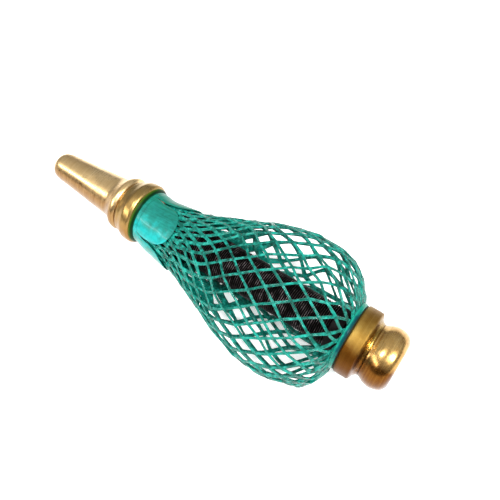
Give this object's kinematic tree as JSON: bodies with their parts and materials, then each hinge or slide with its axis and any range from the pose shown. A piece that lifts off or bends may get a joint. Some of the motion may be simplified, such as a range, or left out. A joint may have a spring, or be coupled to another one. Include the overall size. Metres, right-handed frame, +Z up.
{
  "type": "hand blower bellows",
  "caption": "Hand-held forge blower: tapered brass blast nozzle, pear-shaped net over a ribbed sprung bellows core, and a brass intake knob that pumps against it.",
  "frame": {"origin": "centre of the blast nozzle's mouth", "axes": "+X along the blower's axis from the nozzle mouth to the tail knob, +Z up as it lies on its side"},
  "size_m": [0.1991, 0.0688, 0.0688],
  "materials": {
    "brass_turned": "turned, satin with fine lathe marks",
    "brass_worn": "turned, tarnished, coarse lathe marks",
    "net_twine": "glossy two-ply twine, bonded crossings",
    "sleeve_film": "glossy, slightly translucent",
    "rim_band": "smooth, glossy",
    "seal_rubber": "matt, dark green",
    "gasket_rubber": "matt black",
    "core_rubber": "matt black, finely ribbed",
    "spring_steel": "drawn wire",
    "clamp_black": "blackened band, satin",
    "crimp_copper": "copper band, smooth",
    "valve_rubber": "matt"
  },
  "bodies": {
    "front": {"blast_nozzle": "brass_turned", "nozzle_seal_ring": "gasket_rubber", "front_collar": "brass_turned", "outlet_valve_seat": "brass_worn", "outlet_valve_cage": "brass_worn", "outlet_valve_spring": "spring_steel", "collar_seal": "seal_rubber", "neck_sleeve": "sleeve_film", "net_crimp_ring": "crimp_copper", "net_bag": "net_twine", "core_tube": "core_rubber", "front_core_clamp": "clamp_black", "return_spring": "spring_steel"},
    "tail": {"tail_plug": "brass_worn", "rear_core_clamp": "clamp_black", "rear_rim": "rim_band", "rear_gasket": "gasket_rubber", "inlet_valve_seat": "brass_worn", "inlet_valve_cage": "brass_worn", "inlet_valve_spring": "spring_steel", "tail_knob": "brass_worn", "intake_screen": "spring_steel"},
    "outlet_valve": {"outlet_valve_disc": "valve_rubber"},
    "inlet_valve": {"inlet_valve_disc": "valve_rubber"}
  },
  "joints": [
    {"name": "pump_stroke", "type": "slide", "parent": "front", "child": "tail", "axis": [1, 0, 0], "range_m": [-0.03, 0.003], "stiffness_N_per_m": 400, "deforming": ["net_bag", "core_tube", "return_spring"]},
    {"name": "outlet_valve_lift", "type": "slide", "parent": "front", "child": "outlet_valve", "axis": [-1, 0, 0], "range_m": [0, 0.0015], "stiffness_N_per_m": 20, "springref_m": -0.001, "deforming": ["outlet_valve_spring"]},
    {"name": "inlet_valve_lift", "type": "slide", "parent": "tail", "child": "inlet_valve", "axis": [-1, 0, 0], "range_m": [0, 0.0015], "stiffness_N_per_m": 20, "springref_m": -0.001, "deforming": ["inlet_valve_spring"]}
  ]
}
